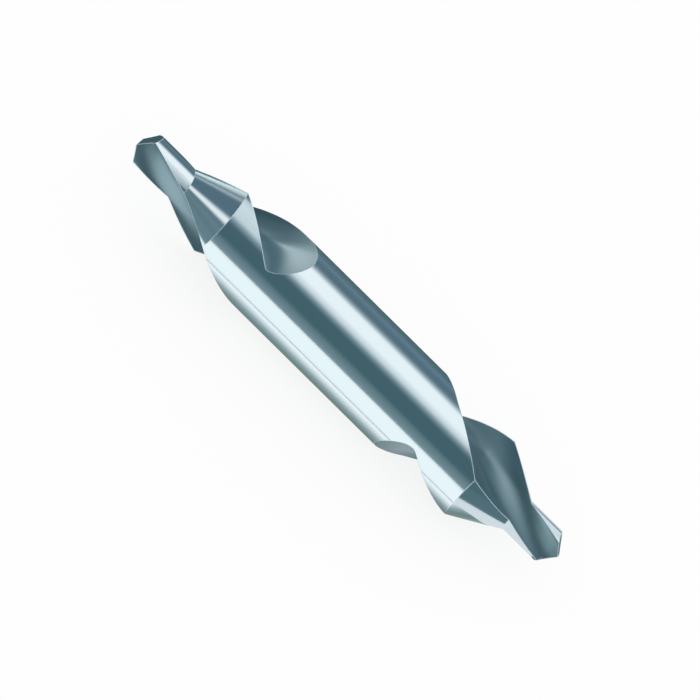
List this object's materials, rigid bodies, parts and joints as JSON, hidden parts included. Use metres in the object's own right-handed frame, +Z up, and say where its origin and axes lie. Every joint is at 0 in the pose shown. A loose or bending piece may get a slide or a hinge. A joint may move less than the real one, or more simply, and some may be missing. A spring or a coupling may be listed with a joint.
{
  "type": "centre drill",
  "caption": "Double-ended centre drill: round body, pilot and 60 degree countersink with helical flutes at each end.",
  "frame": {"origin": "on the tool's axis at half its overall length", "axes": "+X along the tool's axis, +Z up with the body lying along the ground"},
  "size_m": [0.0582, 0.01, 0.01],
  "materials": {
    "ground_steel": "bright ground tool steel, fine grinding lines around the body"
  },
  "bodies": {
    "root": {"centre_drill": "ground_steel"}
  },
  "joints": []
}
